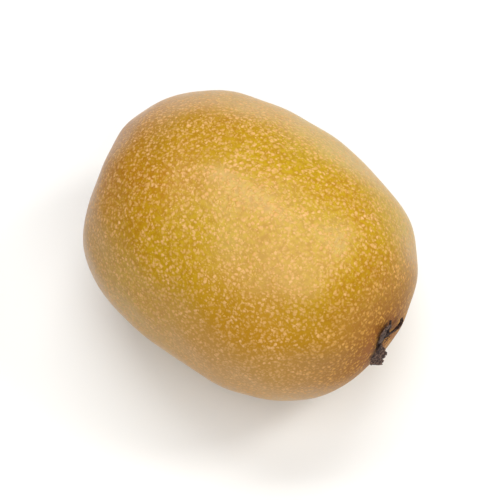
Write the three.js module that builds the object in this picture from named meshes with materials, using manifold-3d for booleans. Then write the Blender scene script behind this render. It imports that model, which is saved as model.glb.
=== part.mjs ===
// A whole golden kiwi fruit, lying on its side on a small flat spot.
// Millimetres, +Z up. The long axis runs along X: the stem end, with its dried sepals, is at +X,
// and the blossom end, with its tuft of dried styles, is at -X. The origin is the middle of the flat spot.

import * as THREE from "three";
import { mergeVertices } from "three/addons/utils/BufferGeometryUtils.js";
import Module from "manifold-3d";

const wasm = await Module();
wasm.setup();

// Driving dimensions
const FRUIT_LENGTH = 68;
const FRUIT_WIDTH = 55;
const FRUIT_HEIGHT = 53; // across the flatter way, before the fruit settles on its flat spot
const FULLNESS = 2.43; // 2 is a plain ellipsoid, more is fuller at the shoulders
const CENTRE_HEIGHT = 26.15; // the fruit's middle above the surface it lies on
const CLEARANCE = 0.3; // between the skin and what sits on it
const FINEST = 0.02; // edges shorter than this are closed up where threads and blades join

const halfLength = FRUIT_LENGTH / 2;
const halfWidth = FRUIT_WIDTH / 2;
const halfHeight = FRUIT_HEIGHT / 2;
const radians = THREE.MathUtils.degToRad;

// Where the skin swells or sinks from the smooth oval. polar is degrees from the stem end, around is
// degrees about the long axis from +Y towards +Z, spread and height are millimetres.
const UNEVENNESS = [
  { polar: 6.6, around: 122, spread: 3.2, height: -0.6 }, // hollow of the calyx
  { polar: 14, around: 285, spread: 7, height: 0.3 },
  { polar: 24, around: 220, spread: 9, height: -0.3 },
  { polar: 71, around: 16, spread: 11, height: -0.75 },
  { polar: 88, around: 17, spread: 9, height: 0.65 },
  { polar: 106, around: 19, spread: 9, height: -0.3 },
  { polar: 97, around: 197, spread: 12, height: -0.25 },
  { polar: 132, around: 191, spread: 11, height: 0.55 },
  { polar: 147, around: 31, spread: 9, height: 0.3 },
  { polar: 163, around: 68, spread: 8, height: 0.7 }, // shoulder of the blossom end
  { polar: 164, around: 140, spread: 6, height: -0.9 }, // flattened side of the blossom end
  { polar: 158, around: 165, spread: 7, height: -0.3 },
  { polar: 180, around: 0, spread: 3.4, height: -1.0 }, // pit of the style tuft
  { polar: 60, around: 100, spread: 14, height: 0.3 },
  { polar: 110, around: 95, spread: 12, height: -0.3 },
  { polar: 60, around: 330, spread: 13, height: -0.45 },
  { polar: 120, around: 330, spread: 12, height: 0.4 },
];
// Where the calyx and the style tuft are centred, as distances from the long axis along Y and Z.
const STEM_CENTRE = { y: -2.8, z: 4.6 };
const BLOSSOM_CENTRE = { y: 0, z: 0 };

// The oval: a superellipse of FULLNESS along X, turned about it with an elliptical section.
// Returns the point and the outward direction at polar and around, both in radians.
function ovalAt(polar, around) {
  const across = Math.cos(around) / halfWidth;
  const upright = Math.sin(around) / halfHeight;
  const section = 1 / Math.hypot(across, upright);
  const c = Math.cos(polar);
  const s = Math.max(Math.sin(polar), 0);
  const reach = (Math.abs(c / halfLength) ** FULLNESS + (s / section) ** FULLNESS) ** (-1 / FULLNESS);
  const radius = reach * s;
  const point = new THREE.Vector3(reach * c, radius * Math.cos(around), radius * Math.sin(around));
  const steep = (radius / section) ** (FULLNESS - 2);
  const outward = new THREE.Vector3(
    (Math.sign(c) * Math.abs(point.x / halfLength) ** (FULLNESS - 1)) / halfLength,
    (steep * point.y) / halfWidth ** 2,
    (steep * point.z) / halfHeight ** 2,
  ).normalize();
  return { point, outward };
}

const unevenSpots = UNEVENNESS.map((spot) => ({
  ...spot,
  centre: ovalAt(radians(spot.polar), radians(spot.around)).point,
}));

// A point of the skin about the fruit's middle: the oval, moved out or in by every uneven spot near it.
function skinAt(polar, around) {
  const { point, outward } = ovalAt(polar, around);
  let height = 0;
  for (const spot of unevenSpots) {
    height += spot.height * Math.exp(-((point.distanceTo(spot.centre) / spot.spread) ** 2));
  }
  return point.addScaledVector(outward, height);
}

// A point of the skin near one end, straight above y and z. end is +1 for the stem end and -1 for the
// blossom end.
function endAt(end, y, z) {
  const distance = Math.hypot(y, z);
  const around = Math.atan2(z, y);
  const section = 1 / Math.hypot(Math.cos(around) / halfWidth, Math.sin(around) / halfHeight);
  const x = halfLength * (1 - (distance / section) ** FULLNESS) ** (1 / FULLNESS);
  const polar = Math.atan2(distance, x);
  return skinAt(end > 0 ? polar : Math.PI - polar, around);
}

// A point near one end, at a distance and an angle from the centre of what grows there, and a lift above
// the skin along its outward direction.
function aboveEnd(end, distance, around, lift) {
  const centre = end > 0 ? STEM_CENTRE : BLOSSOM_CENTRE;
  const y = centre.y + distance * Math.cos(around);
  const z = centre.z + distance * Math.sin(around);
  const step = 0.05;
  const across = endAt(end, y + step, z).sub(endAt(end, y - step, z));
  const upwards = endAt(end, y, z + step).sub(endAt(end, y, z - step));
  const outward = across.cross(upwards).multiplyScalar(end).normalize();
  return endAt(end, y, z).addScaledVector(outward, lift);
}

// A closed geometry from a function of row and column, closed round the columns, with a point at each end.
function closedRound(rows, columns, at) {
  const positions = [at(0, 0)];
  for (let i = 1; i < rows; i++) {
    for (let j = 0; j < columns; j++) positions.push(at(i, j));
  }
  positions.push(at(rows, 0));
  const index = [];
  const ring = (i, j) => 1 + (i - 1) * columns + (j % columns);
  const last = positions.length - 1;
  for (let j = 0; j < columns; j++) {
    index.push(0, ring(1, j), ring(1, j + 1));
    index.push(last, ring(rows - 1, j + 1), ring(rows - 1, j));
    for (let i = 1; i < rows - 1; i++) {
      index.push(ring(i, j), ring(i + 1, j), ring(i + 1, j + 1));
      index.push(ring(i, j), ring(i + 1, j + 1), ring(i, j + 1));
    }
  }
  return geometryOf(positions, index);
}

// A closed blade of even thickness about a middle surface, a function of along from 0 to 1 and across from
// -1 to 1. Both faces are split into triangles alike.
function closedBlade(rows, columns, thickness, middle) {
  const step = 0.01;
  const above = [];
  const below = [];
  for (let i = 0; i <= rows; i++) {
    for (let j = 0; j <= columns; j++) {
      const along = i / rows;
      const across = (2 * j) / columns - 1;
      const lengthways = middle(along + step, across).sub(middle(along - step, across));
      const sideways = middle(along, across + step).sub(middle(along, across - step));
      const face = lengthways.cross(sideways).setLength(thickness / 2);
      const point = middle(along, across);
      above.push(point.clone().add(face));
      below.push(point.clone().sub(face));
    }
  }
  const under = above.length;
  const place = (i, j) => i * (columns + 1) + j;
  const index = [];
  for (let i = 0; i < rows; i++) {
    for (let j = 0; j < columns; j++) {
      const [a, b, c, d] = [place(i, j), place(i + 1, j), place(i + 1, j + 1), place(i, j + 1)];
      index.push(a, b, c, a, c, d);
      index.push(a + under, c + under, b + under, a + under, d + under, c + under);
    }
  }
  const edge = [];
  for (let i = 0; i < rows; i++) edge.push(place(i, 0));
  for (let j = 0; j < columns; j++) edge.push(place(rows, j));
  for (let i = rows; i > 0; i--) edge.push(place(i, columns));
  for (let j = columns; j > 0; j--) edge.push(place(0, j));
  edge.forEach((a, k) => {
    const b = edge[(k + 1) % edge.length];
    index.push(a, a + under, b + under, a, b + under, b);
  });
  return geometryOf([...above, ...below], index);
}

// A closed three-sided thread along a list of points, with a thickness at each.
function closedThread(points, thicknesses) {
  const sides = 3;
  const positions = [];
  points.forEach((point, i) => {
    const ahead = points[Math.min(i + 1, points.length - 1)].clone()
      .sub(points[Math.max(i - 1, 0)]).normalize();
    const side = new THREE.Vector3(0, 0, 1).cross(ahead);
    if (side.length() < 0.2) side.set(0, 1, 0).cross(ahead);
    side.normalize();
    const up = ahead.clone().cross(side);
    for (let k = 0; k < sides; k++) {
      const turn = (2 * Math.PI * k) / sides;
      positions.push(
        point.clone()
          .addScaledVector(side, (Math.cos(turn) * thicknesses[i]) / 2)
          .addScaledVector(up, (Math.sin(turn) * thicknesses[i]) / 2),
      );
    }
  });
  const index = [0, 2, 1];
  const last = (points.length - 1) * sides;
  index.push(last, last + 1, last + 2);
  for (let i = 0; i < points.length - 1; i++) {
    for (let k = 0; k < sides; k++) {
      const [a, b] = [i * sides + k, i * sides + ((k + 1) % sides)];
      index.push(a, b, b + sides, a, b + sides, a + sides);
    }
  }
  return geometryOf(positions, index);
}

function geometryOf(points, index) {
  const geometry = new THREE.BufferGeometry().setFromPoints(points);
  geometry.setIndex(index);
  return geometry;
}

function solidOf(geometry) {
  const bare = geometry.clone();
  bare.deleteAttribute("normal");
  bare.deleteAttribute("uv");
  const merged = mergeVertices(bare, 1e-4);
  return new wasm.Manifold(
    new wasm.Mesh({
      numProp: 3,
      vertProperties: merged.attributes.position.array,
      triVerts: new Uint32Array(merged.index.array),
    }),
  );
}

function geometryFrom(solid) {
  const mesh = solid.getMesh();
  const geometry = new THREE.BufferGeometry();
  geometry.setAttribute("position", new THREE.BufferAttribute(mesh.vertProperties, 3));
  geometry.setIndex(new THREE.BufferAttribute(mesh.triVerts, 1));
  geometry.computeVertexNormals();
  return geometry;
}

// The fruit: skin and flesh in one piece, with the flat spot cut where it rests.
const SKIN_ROWS = 46;
const SKIN_COLUMNS = 60;
const END_CROWDING = 0.45; // how far the rows crowd towards the two ends, where the forms are smaller

function fruitGeometry() {
  const whole = solidOf(
    closedRound(SKIN_ROWS, SKIN_COLUMNS, (i, j) => {
      const along = i / SKIN_ROWS;
      const polar = Math.PI * along - (END_CROWDING / 2) * Math.sin(2 * Math.PI * along);
      return skinAt(polar, (2 * Math.PI * j) / SKIN_COLUMNS);
    }),
  );
  const below = new THREE.BoxGeometry(FRUIT_LENGTH, FRUIT_WIDTH, FRUIT_HEIGHT);
  below.translate(0, 0, -CENTRE_HEIGHT - FRUIT_HEIGHT / 2);
  return geometryFrom(whole.subtract(solidOf(below)));
}

// The calyx: a corky button where the stalk broke off, dried sepals lying on the skin, and dry stamen
// threads between them.
const BUTTON_RADIUS = 1.9;
const BUTTON_RIM = 1.0; // height of its ring above the skin
const BUTTON_PIT = 0.8; // height of its sunken middle
const SEPAL_ROOT = 1.1; // distance of a sepal's root from the middle of the button
const SEPAL_THICKNESS = 0.6;
const SEPAL_LEAST_HALF_WIDTH = 0.32;
// turn is degrees round the button; length and width are the blade's; taper is low for a pointed tip and
// high for a blunt one; fork is how deep the tip is split; flare is how far the tip widens; rise is how far
// the tip stands off the skin; curl lifts the edges; twist is degrees that the blade turns up on its edge;
// lean swings the tip sideways; wave shifts the waving of the edge. The one at 150 is a torn stub.
const SEPALS = [
  {
    turn: 4, length: 5, width: 1.8, taper: 9, fork: 0.35, flare: 0.3,
    rise: 0.3, curl: 0, twist: 25, lean: 0, wave: 0.4,
  },
  {
    turn: 62, length: 4.9, width: 1.2, taper: 3, fork: 0.1, flare: 0,
    rise: 0.3, curl: 0.2, twist: 15, lean: 0.3, wave: 2.1,
  },
  {
    turn: 82, length: 4.8, width: 3.7, taper: 5, fork: 0.35, flare: 0.1,
    rise: 0.4, curl: 0.3, twist: 0, lean: 0, wave: 4,
  },
  {
    turn: 150, length: 1.8, width: 1.8, taper: 4, fork: 0.2, flare: 0,
    rise: 0.4, curl: 0.3, twist: 10, lean: 0.3, wave: 0.9,
  },
  {
    turn: 226, length: 4.3, width: 3.3, taper: 9, fork: 0.15, flare: 0.3,
    rise: 0.2, curl: 0, twist: 29, lean: 0, wave: 3.6,
  },
];
const THREADS = 7;
const THREAD_THICKNESS = 0.6;

function buttonGeometry() {
  const rows = 9;
  const columns = 24;
  // Height of the button's top above the skin, from the pit in the middle over the ring to the rim.
  const profile = (share) => {
    const ring = Math.exp(-(((share - 0.62) / 0.26) ** 2));
    const rim = Math.sqrt(Math.max(1 - share ** 6, 0));
    return CLEARANCE + (BUTTON_PIT - CLEARANCE + (BUTTON_RIM - BUTTON_PIT) * ring) * rim;
  };
  return closedRound(2 * rows, columns, (i, j) => {
    const around = (2 * Math.PI * j) / columns;
    const ragged = 1 + 0.05 * Math.cos(5 * around + 0.7) + 0.03 * Math.cos(8 * around);
    const top = i <= rows;
    const share = top ? i / rows : (2 * rows - i) / rows;
    return aboveEnd(1, BUTTON_RADIUS * ragged * share, around, top ? profile(share) : CLEARANCE);
  });
}

// Half the width of a sepal: broad in the middle, narrowing or flaring to the tip, with a waved edge.
function sepalHalfWidth(sepal, along, side) {
  const body = (0.65 + 1.4 * along * (1 - along)) * (1 - along ** sepal.taper) ** 0.6;
  const waved = 1 + 0.16 * Math.sin(11 * along + sepal.wave + side);
  const half = Math.max((sepal.width / 2) * body * waved, SEPAL_LEAST_HALF_WIDTH);
  return half * (1 + sepal.flare * along ** 4);
}

function sepalGeometry(sepal) {
  return closedBlade(10, 8, SEPAL_THICKNESS, (along, across) => {
    const way = Math.min(Math.max(along, 0), 1);
    const split = sepal.fork * Math.exp(-(((across - 0.2) / 0.35) ** 2)) * way ** 2;
    const out = SEPAL_ROOT + sepal.length * (along - split);
    const half = sepalHalfWidth(sepal, way, Math.sign(across));
    const stand = radians(sepal.twist) * Math.min(2.2 * way, 1);
    const side = across * half * Math.cos(stand) + sepal.lean * way ** 2;
    const around = radians(sepal.turn) + Math.atan2(side, out);
    const ripple = 0.15 * way * Math.sin(3.2 * across + 6.5 * way + sepal.wave);
    const bend = sepal.rise * way ** 1.7 + sepal.curl * across ** 2 * way + ripple;
    const lift = Math.max(bend, 0) + CLEARANCE + SEPAL_THICKNESS / 2 + (across + 1) * half * Math.sin(stand);
    return aboveEnd(1, Math.hypot(out, side), around, lift);
  });
}

function threadGeometry(k) {
  const turn = (2 * Math.PI * (k + 0.35 * Math.sin(5.1 * k))) / THREADS;
  const length = 1.1 + 0.4 * Math.sin(2.4 * k + 1);
  const bend = 0.45 * Math.sin(3.7 * k);
  const points = [];
  const thicknesses = [];
  for (let i = 0; i <= 5; i++) {
    const along = i / 5;
    const out = BUTTON_RADIUS - 0.6 + length * along;
    const lift = 0.68 + (0.3 + 0.2 * Math.cos(1.9 * k)) * along;
    points.push(aboveEnd(1, out, turn + bend * along ** 2, lift));
    thicknesses.push(THREAD_THICKNESS * (1 - 0.3 * along));
  }
  return closedThread(points, thicknesses);
}

function calyxGeometry() {
  let calyx = solidOf(buttonGeometry());
  for (const sepal of SEPALS) calyx = calyx.add(solidOf(sepalGeometry(sepal)));
  for (let k = 0; k < THREADS; k++) calyx = calyx.add(solidOf(threadGeometry(k)));
  // Blades that cross can close off a tiny hollow between them. Only the outer shell is kept.
  const shells = calyx.simplify(FINEST).decompose();
  const outer = shells.reduce((largest, shell) => (shell.volume() > largest.volume() ? shell : largest));
  return geometryFrom(outer);
}

// The style tuft: a small pad in the pit of the blossom end, with the dried styles standing out of it.
const PAD_RADIUS = 1.7;
const PAD_THICKNESS = 0.7;
const STYLES = 19;
const STYLE_THICKNESS = 0.55;
const GOLDEN_TURN = Math.PI * (3 - Math.sqrt(5));

function padGeometry() {
  const rows = 4;
  const columns = 16;
  return closedRound(2 * rows, columns, (i, j) => {
    const top = i <= rows;
    const share = top ? i / rows : (2 * rows - i) / rows;
    const lift = CLEARANCE + (top ? PAD_THICKNESS * Math.sqrt(1 - share ** 4) : 0);
    // The blossom end faces -X, so the columns run the other way round to keep the faces pointing out.
    return aboveEnd(-1, PAD_RADIUS * share, (-2 * Math.PI * j) / columns, lift);
  });
}

function styleGeometry(k) {
  const share = Math.sqrt((k + 0.5) / STYLES);
  const around = GOLDEN_TURN * k;
  const root = 0.25 + (PAD_RADIUS - 0.65) * share;
  const length = 1.6 + 1.1 * share + 0.35 * Math.sin(2.7 * k);
  const height = 1.5 - 0.95 * share + 0.2 * Math.cos(3.3 * k);
  const twist = 0.35 * Math.sin(1.7 * k);
  const points = [];
  const thicknesses = [];
  for (let i = 0; i <= 4; i++) {
    const along = i / 4;
    const out = root + length * along * (0.35 + 0.65 * share);
    const lift = CLEARANCE + 0.35 + height * along * (1 - 0.3 * along);
    points.push(aboveEnd(-1, out, around + twist * along, lift));
    thicknesses.push(STYLE_THICKNESS * (1 - 0.45 * along));
  }
  return closedThread(points, thicknesses);
}

function styleTuftGeometry() {
  let tuft = solidOf(padGeometry());
  for (let k = 0; k < STYLES; k++) tuft = tuft.add(solidOf(styleGeometry(k)));
  return geometryFrom(tuft.simplify(FINEST));
}

const skin = new THREE.MeshStandardMaterial({ color: 0xb98a2c, roughness: 0.48, metalness: 0 });
const driedSepal = new THREE.MeshStandardMaterial({ color: 0x4a3527, roughness: 0.85, metalness: 0 });
const driedStyle = new THREE.MeshStandardMaterial({ color: 0x33241b, roughness: 0.85, metalness: 0 });

function named(name, geometry, material) {
  const mesh = new THREE.Mesh(geometry, material);
  mesh.name = name;
  return mesh;
}

const kiwi = new THREE.Group();
kiwi.position.z = CENTRE_HEIGHT;
kiwi.add(named("fruit", fruitGeometry(), skin));
kiwi.add(named("calyx", calyxGeometry(), driedSepal));
kiwi.add(named("style_tuft", styleTuftGeometry(), driedStyle));

export default kiwi;
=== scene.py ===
import bmesh
import bpy
import numpy as np
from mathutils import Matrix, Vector


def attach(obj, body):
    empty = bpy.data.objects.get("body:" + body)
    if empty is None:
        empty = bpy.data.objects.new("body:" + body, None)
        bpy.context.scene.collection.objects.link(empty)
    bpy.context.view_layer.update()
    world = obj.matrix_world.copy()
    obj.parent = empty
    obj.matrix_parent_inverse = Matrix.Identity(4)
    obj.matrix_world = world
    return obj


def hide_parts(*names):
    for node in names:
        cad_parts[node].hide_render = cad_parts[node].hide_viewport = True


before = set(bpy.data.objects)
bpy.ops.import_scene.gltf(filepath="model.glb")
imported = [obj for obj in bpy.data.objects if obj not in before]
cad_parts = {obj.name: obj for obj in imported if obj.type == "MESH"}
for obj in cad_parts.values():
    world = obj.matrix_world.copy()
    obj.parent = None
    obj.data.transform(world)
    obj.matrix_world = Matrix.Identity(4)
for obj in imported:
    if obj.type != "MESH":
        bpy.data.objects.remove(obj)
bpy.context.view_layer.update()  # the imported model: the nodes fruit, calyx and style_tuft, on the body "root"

# The fruit: skin and flesh grown as one, lying on the small flat spot where its own weight presses it.
# The skin is thin and tough, golden olive and browner at both ends, dotted with pale raised pores. It also
# has painted shade: a darker amber patch with painted warm reflected light on the side facing the camera,
# and the wide fades of the browning over the blossom half and round the calyx. Its shape is an oval worked
# out by a formula, with the real one's swellings and hollows.
MM = 0.001
LENGTH = 68.0
WIDTH = 55.0
HEIGHT = 53.0  # across the flatter way, before the fruit settles on its flat spot
FULLNESS = 2.43  # 2 is a plain ellipsoid, more is fuller at the shoulders
CENTRE_HEIGHT = 26.15  # the fruit's middle above the surface it lies on
SKIN_ROWS = 270
SKIN_COLUMNS = 350
END_CROWDING = 0.45  # how far the rows crowd towards the two ends, where the forms are smaller

# Each row is a place where the skin swells or sinks from the smooth oval: degrees from the stem end,
# degrees about the long axis from +Y towards +Z, how far it spreads and how high it is.
UNEVENNESS = np.array([
    (6.6, 122, 3.2, -0.6),  # hollow of the calyx
    (14, 285, 7, 0.3),
    (24, 220, 9, -0.3),
    (71, 16, 11, -0.75),
    (88, 17, 9, 0.65),
    (106, 19, 9, -0.3),
    (97, 197, 12, -0.25),
    (132, 191, 11, 0.55),
    (147, 31, 9, 0.3),
    (163, 68, 8, 0.7),  # shoulder of the blossom end
    (164, 140, 6, -0.9),  # flattened side of the blossom end
    (158, 165, 7, -0.3),
    (180, 0, 3.4, -1.0),  # pit of the style tuft
    (60, 100, 14, 0.3),
    (110, 95, 12, -0.3),
    (60, 330, 13, -0.45),
    (120, 330, 12, 0.4),
])
# Where the calyx and the style tuft are centred, as distances from the long axis along Y and Z.
STEM_CENTRE = (-2.8, 4.6)
BLOSSOM_CENTRE = (0.0, 0.0)
SWELLS = 26
SWELL_WAVELENGTHS = (7.0, 19.0)
SWELL_HEIGHT = 0.030
PUCKERS = 17  # faint folds that run into each end
PUCKER_HEIGHT = 0.03
PUCKER_REACH = 6.5

chance = np.random.default_rng(2253)
swell_directions = chance.normal(size=(SWELLS, 3))
swell_directions /= np.linalg.norm(swell_directions, axis=1, keepdims=True)
swell_waves = swell_directions * 2 * np.pi / chance.uniform(*SWELL_WAVELENGTHS, (SWELLS, 1))
swell_starts = chance.uniform(0, 2 * np.pi, SWELLS)


def section(around):
    """Distance from the long axis to the widest section's edge, an ellipse, at an angle about the axis."""
    return 1 / np.hypot(np.cos(around) / (WIDTH / 2), np.sin(around) / (HEIGHT / 2))


def oval(polar, around):
    """Points of the smooth oval about the fruit's middle, and its outward directions.
    Along X it is a superellipse: (x / half length)^F + (radius / section)^F = 1, F being FULLNESS."""
    edge = section(around)
    along, out = np.cos(polar), np.maximum(np.sin(polar), 0)
    reach = (np.abs(along / (LENGTH / 2)) ** FULLNESS + (out / edge) ** FULLNESS) ** (-1 / FULLNESS)
    x, radius = reach * along, reach * out
    points = np.stack([x, radius * np.cos(around), radius * np.sin(around)], axis=-1)
    steep = (radius / edge) ** (FULLNESS - 2)
    outward = np.stack([
        np.sign(x) * np.abs(x / (LENGTH / 2)) ** (FULLNESS - 1) / (LENGTH / 2),
        steep * points[..., 1] / (WIDTH / 2) ** 2,
        steep * points[..., 2] / (HEIGHT / 2) ** 2,
    ], axis=-1)
    return points, outward / np.linalg.norm(outward, axis=-1, keepdims=True)


def skin(polar, around):
    """Points of the skin: the oval moved along its outward direction by bell curves at the uneven places,
    by slow swells, a sum of sine waves in space, and by folds that fade away from both ends."""
    polar, around = np.broadcast_arrays(polar, around)
    points, outward = oval(polar, around)
    height = SWELL_HEIGHT * np.sin(points @ swell_waves.T + swell_starts).sum(axis=-1)
    for place_polar, place_around, spread, swelling in UNEVENNESS:
        centre, _ = oval(np.radians(place_polar), np.radians(place_around))
        height = height + swelling * np.exp(-((points - centre) ** 2).sum(axis=-1) / spread ** 2)
    centre = np.where(points[..., :1] > 0, STEM_CENTRE, BLOSSOM_CENTRE)
    y, z = np.moveaxis(points[..., 1:] - centre, -1, 0)
    reach, turn = np.hypot(y, z) / PUCKER_REACH, np.arctan2(z, y)
    fold = np.cos(PUCKERS * turn + 1.3 * np.sin(3 * turn)) * reach ** 2 * np.exp(-reach ** 2)
    return points + outward * (height - PUCKER_HEIGHT * fold)[..., None]


def closed_round(points):
    """Faces of a closed surface whose points are rows of rings between two poles, given as an array of
    rows by columns by 3, with every point of the first and the last row at that row's pole."""
    rows, columns = points.shape[0] - 1, points.shape[1]
    ring = 1 + np.arange((rows - 1) * columns).reshape(rows - 1, columns)
    after = np.roll(ring, -1, axis=1)
    last = (rows - 1) * columns + 1
    quads = np.stack([ring[:-1], ring[1:], after[1:], after[:-1]], axis=-1).reshape(-1, 4)
    first_fan = np.stack([np.zeros(columns, int), ring[0], after[0]], axis=-1)
    last_fan = np.stack([np.full(columns, last), after[-1], ring[-1]], axis=-1)
    vertices = np.concatenate([points[0, :1], points[1:-1].reshape(-1, 3), points[-1, :1]])
    return vertices, quads.tolist() + first_fan.tolist() + last_fan.tolist()


def grown_piece(name, vertices, faces, material, slot, replaced):
    """A piece of the fruit from points in millimetres about its middle, with its finish and the node that it
    replaces. The slot of its finish is not used. Its faces are turned outwards."""
    mesh = bpy.data.meshes.new(name)
    mesh.from_pydata((vertices + (0, 0, CENTRE_HEIGHT)) * MM, [], faces)
    turned = bmesh.new()
    turned.from_mesh(mesh)
    bmesh.ops.recalc_face_normals(turned, faces=turned.faces)
    turned.to_mesh(mesh)
    turned.free()
    mesh.shade_smooth()
    mesh.materials.append(material)
    piece = bpy.data.objects.new(name, mesh)
    bpy.context.collection.objects.link(piece)
    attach(piece, "root")
    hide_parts(replaced)


def colour(hex_value):
    """A shader colour from an sRGB hex value, turned to linear."""
    srgb = np.array([int(hex_value[i:i + 2], 16) for i in (1, 3, 5)]) / 255
    linear = np.where(srgb <= 0.04045, srgb / 12.92, ((srgb + 0.055) / 1.055) ** 2.4)
    return (*linear.tolist(), 1.0)


def node(tree, kind, sockets=(), **settings):
    """Adds a shader node with its settings, and fills its sockets: an output is linked, a value is set."""
    made = tree.nodes.new("ShaderNode" + kind)
    for name, value in settings.items():
        setattr(made, name, value)
    for name, value in dict(sockets).items():
        if isinstance(value, bpy.types.NodeSocket):
            tree.links.new(value, made.inputs[name])
        else:
            made.inputs[name].default_value = value
    return made


def new_finish(name):
    """An empty material of that name, with its node tree and its surface shader."""
    material = bpy.data.materials.new(name)
    material.use_nodes = True
    return material, material.node_tree, material.node_tree.nodes["Principled BSDF"]


# Sizes of the pattern in the skin, in millimetres.
PORE_CELL = 0.82  # spacing of the pale pores
PIN_CELL = 0.55  # spacing of the finer pores between them
SPECK_CELL = 8.0  # spacing of the few dark specks
SHAKE_SIZE = 0.7  # size of the noise that takes the pores out of their even spacing
SHAKE = 0.75  # how far that noise moves them
CLOUD_SIZE = 17.0  # size of the slow changes between olive and amber
PATCH_SIZE = 4.5  # size of the patches where the pores are stronger or fainter
MOTTLE_SIZE = 0.9  # size of the fine mottling under the pores
PORE_RELIEF = 0.07  # height of the pores in the bump
# The middles of the calyx, of the style tuft and of the painted patch of shade and warm reflected light, a
# little more amber, from the flat spot. Then how far each browning and painted shade goes: it is full up to
# the first distance, and ends at the second. The brownings are the skin's own near the ends, and painted
# shade in their wide fades.
STEM_POINT = (33.3, STEM_CENTRE[0], CENTRE_HEIGHT + STEM_CENTRE[1])
BLOSSOM_POINT = (-33.2, BLOSSOM_CENTRE[0], CENTRE_HEIGHT + BLOSSOM_CENTRE[1])
AMBER_SHADE_POINT = (16.0, -24.0, 34.0)
STEM_BROWN_AND_SHADE_REACH = (5.0, 22.0)
CORKY_REACH = (8.0, 17.0)  # the duller skin round the calyx
BLOSSOM_BROWN_AND_SHADE_REACH = (3.0, 42.0)
AMBER_SHADE_REACH = (10.0, 28.0)


def pores(tree, place, cell, rim, core, least):
    """Pale round pores with this spacing, 0 between them and up to 1 in their cores. The rim and the core
    are shares of the spacing, and each pore has its own strength from least to 1."""
    pore = node(tree, "TexVoronoi", {"Vector": place, "Scale": 1 / (cell * MM)})
    spot = node(tree, "MapRange", {"Value": pore.outputs["Distance"], "From Min": rim, "From Max": core},
                interpolation_type="SMOOTHSTEP")
    own = node(tree, "SeparateColor", {0: pore.outputs["Color"]})
    strength = node(tree, "MapRange", {"Value": own.outputs["Red"], "To Min": least})
    return (node(tree, "Math", {0: spot.outputs[0], 1: strength.outputs[0]},
                 operation="MULTIPLY").outputs[0], own.outputs["Green"])


def near(tree, place, point, inner, outer):
    """1 within the inner distance from a point in millimetres, falling evenly to 0 at the outer one."""
    away = node(tree, "VectorMath", {0: place, 1: np.array(point) * MM}, operation="DISTANCE")
    return node(tree, "MapRange", {"Value": away.outputs["Value"], "From Min": inner * MM,
                                   "From Max": outer * MM, "To Min": 1.0, "To Max": 0.0}).outputs[0]


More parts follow.
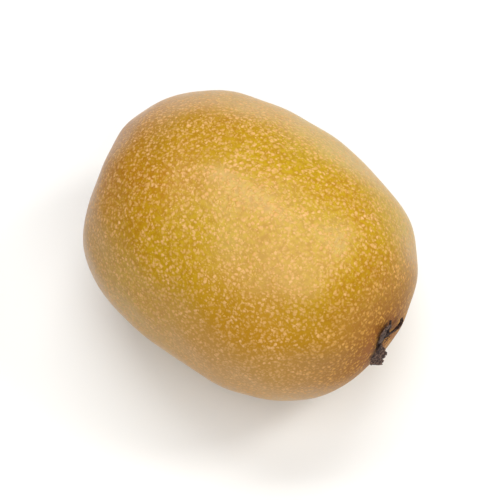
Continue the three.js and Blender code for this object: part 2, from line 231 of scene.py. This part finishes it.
def golden_kiwi_skin():
    """Golden kiwi skin: a thin dull skin over olive-gold tissue, seen through it as a slow change between
    olive and amber, with pale corky pores that stand up a little, a painted amber patch of shade and warm
    reflected light on one side, and brown cork towards the ends, with painted shade in its wide fade,
    duller round the calyx."""
    material, tree, surface = new_finish("golden kiwi skin")
    place = node(tree, "TexCoord").outputs["Object"]

    cloud = node(tree, "TexNoise", {"Vector": place, "Scale": 1 / (CLOUD_SIZE * MM), "Detail": 3.0})
    clouds = node(tree, "MapRange", {"Value": cloud.outputs["Fac"], "From Min": 0.36, "From Max": 0.66})
    ground = node(tree, "Mix", {0: clouds.outputs[0], 6: colour("#AC8803"), 7: colour("#AE7A02")},
                  data_type="RGBA")

    mottle = node(tree, "TexNoise", {"Vector": place, "Scale": 1 / (MOTTLE_SIZE * MM), "Detail": 2.0})
    mottles = node(tree, "MapRange", {"Value": mottle.outputs["Fac"], "From Min": 0.36, "From Max": 0.64,
                                      "To Max": 0.6})
    mottled = node(tree, "Mix", {0: mottles.outputs[0], 6: ground.outputs[2], 7: colour("#C2A009")},
                   data_type="RGBA")

    # painted shade and warm reflected light: a darker, more amber patch on the side facing the camera
    painted_amber_shade = near(tree, place, AMBER_SHADE_POINT, *AMBER_SHADE_REACH)
    # browner towards the blossom end: the skin's own brown near the end, painted shade over the wide fade
    blossom_brown_and_shade = near(tree, place, BLOSSOM_POINT, *BLOSSOM_BROWN_AND_SHADE_REACH)
    # browner round the calyx: the skin's own brown cork, made darker still by painted shade
    stem_brown_and_shade = near(tree, place, STEM_POINT, *STEM_BROWN_AND_SHADE_REACH)
    amber_shaded = node(tree, "Mix", {0: painted_amber_shade, 6: mottled.outputs[2], 7: colour("#B07C03")}, data_type="RGBA")
    blossom = node(tree, "Mix", {0: blossom_brown_and_shade, 6: amber_shaded.outputs[2], 7: colour("#9A5608")},
                   data_type="RGBA")
    browned_and_shaded = node(tree, "Mix", {0: stem_brown_and_shade, 6: blossom.outputs[2], 7: colour("#925403")},
                   data_type="RGBA")

    shaken = node(tree, "TexNoise", {"Vector": place, "Scale": 1 / (SHAKE_SIZE * MM), "Detail": 2.0})
    moved = node(tree, "VectorMath", {0: shaken.outputs["Color"], 1: (SHAKE * MM,) * 3, 2: place},
                 operation="MULTIPLY_ADD").outputs[0]
    patch = node(tree, "TexNoise", {"Vector": place, "Scale": 1 / (PATCH_SIZE * MM), "Detail": 1.0})
    patches = node(tree, "MapRange", {"Value": patch.outputs["Fac"], "From Min": 0.35, "From Max": 0.65,
                                      "To Min": 0.6, "To Max": 1.0}).outputs[0]
    pore, pore_tone = pores(tree, moved, PORE_CELL, 0.52, 0.2, 0.5)
    pore_strength = node(tree, "Math", {0: pore, 1: patches}, operation="MULTIPLY")
    pale = node(tree, "Mix", {0: pore_tone, 6: colour("#D09A54"), 7: colour("#E3B176")}, data_type="RGBA")
    # the pores more golden round the calyx, by the same mask of brown and painted shade
    pore_colour = node(tree, "Mix", {0: stem_brown_and_shade, 6: pale.outputs[2], 7: colour("#DCA23E")},
                       data_type="RGBA")
    pored = node(tree, "Mix", {0: pore_strength.outputs[0], 6: browned_and_shaded.outputs[2],
                               7: pore_colour.outputs[2]}, data_type="RGBA")

    pin, _ = pores(tree, moved, PIN_CELL, 0.5, 0.2, 0.2)
    pin_strength = node(tree, "Math", {0: pin, 1: 0.7}, operation="MULTIPLY")
    # the finer pores darker round the calyx, by the same mask of brown and painted shade
    pin_colour = node(tree, "Mix", {0: stem_brown_and_shade, 6: colour("#D8A45C"), 7: colour("#B0761C")},
                      data_type="RGBA")
    pinned = node(tree, "Mix", {0: pin_strength.outputs[0], 6: pored.outputs[2],
                                7: pin_colour.outputs[2]}, data_type="RGBA")

    speck, _ = pores(tree, place, SPECK_CELL, 0.045, 0.02, 0.3)
    specked = node(tree, "Mix", {0: speck, 6: pinned.outputs[2], 7: colour("#7E5216")}, data_type="RGBA")
    tree.links.new(specked.outputs[2], surface.inputs["Base Color"])

    gloss = node(tree, "MapRange", {"Value": pore_strength.outputs[0], "To Min": 0.35, "To Max": 0.7})
    corky = near(tree, place, STEM_POINT, *CORKY_REACH)
    dulled = node(tree, "Math", {0: corky, 1: 0.5, 2: gloss.outputs[0]}, operation="MULTIPLY_ADD",
                  use_clamp=True)
    tree.links.new(dulled.outputs[0], surface.inputs["Roughness"])

    pore_height = node(tree, "Math", {0: pore, 1: pin}, operation="ADD")
    relief = node(tree, "Math", {0: mottle.outputs["Fac"], 1: 0.5, 2: pore_height.outputs[0]},
                  operation="MULTIPLY_ADD")
    bump = node(tree, "Bump", {"Height": relief.outputs[0], "Strength": 0.5,
                               "Distance": PORE_RELIEF * MM})
    tree.links.new(bump.outputs[0], surface.inputs["Normal"])
    surface.inputs["Sheen Weight"].default_value = 0.15
    surface.inputs["Sheen Roughness"].default_value = 0.3
    surface.inputs["Sheen Tint"].default_value = colour("#F4E6DA")
    surface.inputs["IOR"].default_value = 1.5
    return material


rows = np.linspace(0, 1, SKIN_ROWS + 1)[:, None]
turns = np.linspace(0, 2 * np.pi, SKIN_COLUMNS, endpoint=False)
fruit_points = skin(np.pi * rows - END_CROWDING / 2 * np.sin(2 * np.pi * rows), turns)
fruit_points[..., 2] = np.maximum(fruit_points[..., 2], -CENTRE_HEIGHT)
kiwi_skin = golden_kiwi_skin()
grown_piece("fruit_skin", *closed_round(fruit_points), kiwi_skin, "skin", "fruit")

# The calyx at the stem end: a corky scar where the stalk broke off, dried sepals round it, and dry stamen
# threads between them. Two narrow strips and a broad blade lie on the skin, one sepal is a torn stub, and
# one stands off the skin as a flap. All of it is brittle, dark brown leafy tissue grown out of the skin.
SCAR_RADIUS = 1.9
SCAR_RIM = 0.4  # height of its ring above the skin
SCAR_PIT = 0.05  # height of its sunken middle
SCAR_ROOT = -0.3  # how deep it is rooted in the skin
SEPAL_ROOT = 1.1  # how far from the scar's middle the sepals start
SEPAL_THICKNESS = 0.26
SEPAL_ROWS = 46
SEPAL_COLUMNS = 35
# turn, length, width, taper, fork, flare, rise, curl, twist, lean and wave of each sepal: taper is low for
# a pointed tip and high for a blunt one, fork is how deep the tip is split, flare is how far the tip
# widens, rise is how far it stands off the skin, curl lifts the edges, twist is degrees that the blade
# turns up on its edge, lean swings the tip sideways, and wave shifts the waving of the edge.
DARK_SEPALS = [
    (4, 5.0, 2.0, 9, 0.4, 0.4, 0.3, 0.0, 25, 0.0, 0.4),
    (62, 4.9, 1.1, 3, 0.1, 0.0, 0.3, 0.2, 15, 0.3, 2.1),
    (150, 1.8, 1.8, 4, 0.2, 0.0, 0.4, 0.3, 10, 0.3, 0.9),
]
WEATHERED_SEPALS = [
    (82, 4.8, 3.8, 5, 0.35, 0.1, 0.4, 0.4, 0, 0.0, 4.0),
    (226, 4.3, 3.3, 9, 0.15, 0.3, 0.2, 0.0, 29, 0.0, 3.6),
]
STAMEN_THREADS = 16
THREAD_POINTS = 9  # points along each stamen thread, and along each dried style


def end_at(end, y, z):
    """Points of the skin near one end, straight above y and z. end is 1 for the stem end and -1 for the
    blossom end. The smooth oval's x there, solved from its equation, gives the angle from the axis."""
    from_axis, around = np.hypot(y, z), np.arctan2(z, y)
    x = LENGTH / 2 * (1 - (from_axis / section(around)) ** FULLNESS) ** (1 / FULLNESS)
    polar = np.arctan2(from_axis, x)
    return skin(polar if end > 0 else np.pi - polar, around)


def above_end(end, distance, around, lift):
    """Points near one end, at a distance and an angle from the centre of what grows there, and a lift
    along the skin's outward direction, which is the cross product of two short steps on the skin."""
    centre = STEM_CENTRE if end > 0 else BLOSSOM_CENTRE
    y, z, lift = np.broadcast_arrays(centre[0] + distance * np.cos(around),
                                     centre[1] + distance * np.sin(around), lift)
    sideways = end_at(end, y + 0.05, z) - end_at(end, y - 0.05, z)
    upwards = end_at(end, y, z + 0.05) - end_at(end, y, z - 0.05)
    outward = end * np.cross(sideways, upwards)
    outward /= np.linalg.norm(outward, axis=-1, keepdims=True)
    return end_at(end, y, z) + outward * lift[..., None]


def slab(top, bottom):
    """A closed thin piece between two grids of points alike: both faces, and a rim round their edges."""
    rows, columns = top.shape[:2]
    place = np.arange(rows * columns).reshape(rows, columns)
    quads = np.stack([place[:-1, :-1], place[1:, :-1], place[1:, 1:], place[:-1, 1:]], -1).reshape(-1, 4)
    edge = np.concatenate([place[0, :-1], place[:-1, -1], place[-1, :0:-1], place[:0:-1, 0]])
    under = rows * columns
    rim = np.stack([edge, np.roll(edge, -1), np.roll(edge, -1) + under, edge + under], -1)
    vertices = np.concatenate([top.reshape(-1, 3), bottom.reshape(-1, 3)])
    return vertices, np.concatenate([quads, quads[:, ::-1] + under, rim])


def threads(paths, thickness):
    """Closed three-sided threads along paths, an array of threads by points by 3, with a thickness at
    each point. Two directions square to the path carry the three corners round it."""
    count, length = paths.shape[:2]
    ahead = np.gradient(paths, axis=1)
    ahead /= np.linalg.norm(ahead, axis=-1, keepdims=True)
    side = np.cross(ahead, (0.31, 0.52, 0.79))
    side /= np.linalg.norm(side, axis=-1, keepdims=True)
    turn = np.arange(3) * 2 * np.pi / 3
    corners = (side[:, :, None] * np.cos(turn)[:, None]
               + np.cross(ahead, side)[:, :, None] * np.sin(turn)[:, None])
    vertices = paths[:, :, None] + corners * (thickness / 2)[:, :, None, None]
    place = np.arange(count * length * 3).reshape(count, length, 3)
    after = np.roll(place, -1, axis=2)
    sides = np.stack([place[:, :-1], after[:, :-1], after[:, 1:], place[:, 1:]], -1).reshape(-1, 4)
    caps = np.concatenate([place[:, 0, ::-1], place[:, -1]])
    return vertices.reshape(-1, 3), sides.tolist() + caps.tolist()


def joined(parts):
    """Several sets of vertices and faces as one."""
    vertices, faces, count = [], [], 0
    for part_vertices, part_faces in parts:
        vertices.append(part_vertices)
        faces += [[corner + count for corner in face] for face in part_faces]
        count += len(part_vertices)
    return np.concatenate(vertices), faces


def dried_sepal(turn, length, width, taper, fork, flare, rise, curl, twist, lean, wave):
    """One dried sepal. Its half width is broad in the middle and narrows to the tip, times sine waves
    that make a ragged edge. Its tip is split by a bell curve across it, and nicked by a narrower one. It
    turns up on its edge by the twist, and is lifted off the skin by a power of the way along, by the curl
    of its edges, and by ripples and lengthwise ribs."""
    along = np.linspace(0, 1, SEPAL_ROWS)[:, None]
    across = np.linspace(-1, 1, SEPAL_COLUMNS)[None, :]
    split = fork * np.exp(-((across - 0.2) / 0.35) ** 2) * along ** 2
    nick = 0.10 * np.exp(-((across + 0.55) / 0.16) ** 2) + 0.025 * np.sin(17 * across + 5 * wave)
    out = SEPAL_ROOT + length * (along - split - nick * along ** 3)
    body = (0.65 + 1.4 * along * (1 - along)) * (1 - along ** taper) ** 0.6
    ragged = (1 + 0.16 * np.sin(11 * along + wave + np.sign(across))
              + 0.08 * np.sin(37 * along + 2 * wave) + 0.05 * np.sin(71 * along + 3 * wave))
    half = np.maximum(width / 2 * body * ragged, 0.3 - 0.12 * along) * (1 + flare * along ** 4)
    stand = np.radians(twist) * np.minimum(2.2 * along, 1)
    side = across * half * np.cos(stand) + lean * along ** 2
    ripple = 0.15 * along * np.sin(3.2 * across + 6.5 * along + wave)
    rib = 0.05 * np.cos(11 * across) * np.sqrt(along) + 0.04 * np.sin(23 * across + 9 * along + wave)
    lift = np.maximum(rise * along ** 1.7 + curl * across ** 2 * along + ripple, 0) + rib
    lift = lift + 0.36 + (across + 1) * half * np.sin(stand)
    middle = above_end(1, np.hypot(out, side), np.radians(turn) + np.arctan2(side, out), lift)
    face = np.cross(np.gradient(middle, axis=0), np.gradient(middle, axis=1))
    face /= np.linalg.norm(face, axis=-1, keepdims=True)
    half_thick = face * (SEPAL_THICKNESS / 2 * (1 - 0.5 * across ** 2))[..., None]
    return slab(middle + half_thick, middle - half_thick)


def stamen_threads():
    """Dry stamen threads: each leaves the scar's rim, and bends sideways as a square of the way along."""
    along = np.linspace(0, 1, THREAD_POINTS)
    turn = np.arange(STAMEN_THREADS) * 2 * np.pi / STAMEN_THREADS + chance.normal(0, 0.12, STAMEN_THREADS)
    length = chance.uniform(0.6, 1.6, STAMEN_THREADS)
    bend = chance.normal(0, 0.3, STAMEN_THREADS)
    rise = chance.uniform(0.0, 0.6, STAMEN_THREADS)
    distance = SCAR_RADIUS - 0.4 + length[:, None] * along
    around = turn[:, None] + bend[:, None] * along ** 2
    lift = 0.45 + rise[:, None] * along - 0.35 * along ** 3
    thickness = np.broadcast_to(0.2 * (1 - 0.45 * along), lift.shape)
    return threads(above_end(1, distance, around, np.maximum(lift, 0.15)), thickness)


def stalk_scar():
    """The corky scar: its height goes from the pit in the middle, over a ring that is a bell curve of the
    distance, down into the skin at the rim, with a rough grain that is a sum of sine waves."""
    share = np.concatenate([np.linspace(0, 1, 40), [0.97, 0.6, 0.0]])[:, None]
    depth = np.concatenate([np.zeros(40), [1.0, 1.0, 1.0]])[:, None]
    around = np.linspace(0, 2 * np.pi, 72, endpoint=False)
    ragged = 1 + 0.05 * np.cos(5 * around + 0.7) + 0.03 * np.cos(8 * around) + 0.015 * np.cos(23 * around)
    ring = np.exp(-((share - 0.62) / 0.26) ** 2)
    rim = np.sqrt(np.maximum(1 - share ** 6, 0))
    grain = 0.05 * np.cos(17 * around + 9 * share) * share + 0.04 * np.sin(31 * share + 3 * around) * share
    top = (SCAR_PIT + (SCAR_RIM - SCAR_PIT) * ring + grain) * rim
    lift = np.where(depth > 0, SCAR_ROOT, top)
    return closed_round(above_end(1, SCAR_RADIUS * ragged * share, around, lift))


DRY_FIBRE = 0.35  # width of the fibres that show in the dried tissue


def dry_tissue(name, dark, pale, fibre_stretch):
    """Dried leafy tissue: dark brown, greyer and paler where it has weathered, with fibres along it."""
    material, tree, surface = new_finish(name)
    place = node(tree, "TexCoord").outputs["Object"]
    fibred = node(tree, "Mapping", {"Vector": place, "Scale": fibre_stretch})
    fibre = node(tree, "TexNoise", {"Vector": fibred.outputs[0], "Scale": 1 / (DRY_FIBRE * MM),
                                    "Detail": 4.0})
    weathered = node(tree, "MapRange", {"Value": fibre.outputs["Fac"], "From Min": 0.45, "From Max": 0.7})
    tone = node(tree, "Mix", {0: weathered.outputs[0], 6: colour(dark), 7: colour(pale)},
                data_type="RGBA")
    tree.links.new(tone.outputs[2], surface.inputs["Base Color"])
    bump = node(tree, "Bump", {"Height": fibre.outputs["Fac"], "Strength": 0.6, "Distance": 0.08 * MM})
    tree.links.new(bump.outputs[0], surface.inputs["Normal"])
    surface.inputs["Roughness"].default_value = 0.8
    return material


dark_tissue = dry_tissue("dark dried sepal tissue", "#21120D", "#5A4034", (1.0, 1.0, 0.6))
weathered_tissue = dry_tissue("weathered dried sepal tissue", "#33211A", "#886B5B", (1.0, 0.5, 1.6))
scar_cork = dry_tissue("stalk scar cork", "#3B2417", "#8A5C30", (1.0, 1.0, 1.0))
for name, sepals, tissue in (("dark_sepals", DARK_SEPALS, dark_tissue),
                             ("weathered_sepals", WEATHERED_SEPALS, weathered_tissue)):
    grown_piece(name, *joined([dried_sepal(*sepal) for sepal in sepals]), tissue, "dried_calyx", "calyx")
grown_piece("stalk_scar", *stalk_scar(), scar_cork, "dried_calyx", "calyx")
grown_piece("stamen_threads", *stamen_threads(), dark_tissue, "dried_calyx", "calyx")

# The style tuft at the blossom end: a small dark pad in a shallow pit, with the dried styles of the
# flower standing out of it in a low star. They are stiff, near-black fibres.
PAD_RADIUS = 1.7
PAD_HEIGHT = 0.55
STYLES = 36
GOLDEN_TURN = np.pi * (3 - np.sqrt(5))


def style_pad():
    """The pad: a low dome, its height a root of the distance from the rim, with a knobbly grain."""
    share = np.concatenate([np.linspace(0, 1, 24), [0.9, 0.0]])[:, None]
    depth = np.concatenate([np.zeros(24), [1.0, 1.0]])[:, None]
    around = np.linspace(0, 2 * np.pi, 48, endpoint=False)
    grain = 0.08 * np.sin(9 * around + 7 * share) * share * np.cos(13 * share)
    dome = (PAD_HEIGHT + grain) * np.sqrt(np.maximum(1 - share ** 3, 0))
    ragged = 1 + 0.07 * np.cos(4 * around) + 0.05 * np.cos(11 * around + 1)
    lift = np.where(depth > 0, -0.3, dome)
    return closed_round(above_end(-1, PAD_RADIUS * ragged * share, around, lift))


def dried_styles():
    """The styles: rooted in a sunflower spiral on the pad, each leaning out more the nearer it is to the
    rim, and thicker again at its tip, where the stigma was."""
    number = np.arange(STYLES)
    share = np.sqrt((number + 0.5) / STYLES)[:, None]
    along = np.linspace(0, 1, THREAD_POINTS)
    length = 1.7 + 1.2 * share + chance.normal(0, 0.3, (STYLES, 1))
    height = 1.6 - 0.9 * share + chance.normal(0, 0.15, (STYLES, 1))
    twist = chance.normal(0, 0.3, (STYLES, 1))
    distance = 0.2 + (PAD_RADIUS - 0.5) * share + length * along * (0.35 + 0.65 * share)
    around = GOLDEN_TURN * number[:, None] + twist * along
    lift = 0.3 + height * along * (1 - 0.3 * along)
    thickness = np.broadcast_to(0.24 - 0.12 * along + 0.16 * np.exp(-((along - 1) / 0.12) ** 2), lift.shape)
    return threads(above_end(-1, distance, around, lift), thickness)


style_fibre = dry_tissue("dried style fibre", "#21130D", "#5B4030", (1.0, 1.0, 1.0))
grown_piece("style_pad", *style_pad(), style_fibre, "dried_styles", "style_tuft")
grown_piece("styles", *dried_styles(), style_fibre, "dried_styles", "style_tuft")

# The pale surface that the fruit lies on, the soft studio light and the camera.
# The camera looks steeply down on the lying fruit, so that its long axis slopes down to the right in the
# picture and its stem end is turned a little towards the viewer.
CAMERA_AZIMUTH = 36.1
CAMERA_ELEVATION = 67.6
CAMERA_LENS = 100.0
FRAME_WIDTH = 0.101  # the width that the picture takes in at the fruit's middle
FRAME_SHIFT = (0.0, -0.001)  # right and up from the fruit's middle to the picture's middle
FLOOR_REACH = 2.0

azimuth, elevation = np.radians(CAMERA_AZIMUTH), np.radians(CAMERA_ELEVATION)
toward = np.array([np.sin(azimuth) * np.cos(elevation), -np.cos(azimuth) * np.cos(elevation),
                   np.sin(elevation)])
right = np.array([np.cos(azimuth), np.sin(azimuth), 0.0])
up = np.cross(toward, right)
middle = np.array([0, 0, CENTRE_HEIGHT * MM])


def aimed(name, data, place, target):
    """An object at a place that looks at a target, with the picture's up the world's up."""
    made = bpy.data.objects.new(name, data)
    bpy.context.collection.objects.link(made)
    made.location = place
    made.rotation_mode = "QUATERNION"
    made.rotation_quaternion = Vector(target - place).to_track_quat("-Z", "Y")
    return made


def softbox(name, direction, distance, size, watts):
    """A soft white area light, placed by its direction to the right, up and towards the camera."""
    light = bpy.data.lights.new(name, "AREA")
    light.shape = "RECTANGLE"
    light.size, light.size_y = size
    light.energy = watts
    axes = np.array([right, up, toward])
    away = np.array(direction) @ axes
    aimed(name, light, middle + away / np.linalg.norm(away) * distance, middle)


camera = bpy.data.cameras.new("camera")
camera.lens = CAMERA_LENS
camera_distance = FRAME_WIDTH * CAMERA_LENS / camera.sensor_width
frame_middle = middle + right * FRAME_SHIFT[0] + up * FRAME_SHIFT[1]
bpy.context.scene.camera = aimed("camera", camera, frame_middle + toward * camera_distance, frame_middle)

softbox("overhead strip", (-0.03, 0.69, 0.71), 0.6, (0.46, 0.14), 1.95)
softbox("right strip", (0.64, 0.42, 0.64), 0.6, (0.14, 0.16), 1.0)
softbox("front softbox", (0.02, -0.03, 1.0), 0.8, (0.9, 0.8), 6.35)
softbox("low back panel", (0.1, 0.9, -0.42), 0.2, (0.3, 0.05), 0.085)

floor_mesh = bpy.data.meshes.new("floor")
floor_mesh.from_pydata([(x * FLOOR_REACH, y * FLOOR_REACH, 0)
                        for x, y in ((-1, -1), (1, -1), (1, 1), (-1, 1))], [], [(0, 1, 2, 3)])
floor = bpy.data.objects.new("floor", floor_mesh)
bpy.context.collection.objects.link(floor)
floor_finish, _, floor_surface = new_finish("matt white card")
floor_surface.inputs["Base Color"].default_value = colour("#F2F1EE")
floor_surface.inputs["Roughness"].default_value = 0.7
floor_mesh.materials.append(floor_finish)

world = bpy.data.worlds.new("soft room light")
world.use_nodes = True
world.node_tree.nodes["Background"].inputs["Color"].default_value = colour("#F4F3F6")
world.node_tree.nodes["Background"].inputs["Strength"].default_value = 0.05
bpy.context.scene.world = world
bpy.context.scene.view_settings.view_transform = "Standard"
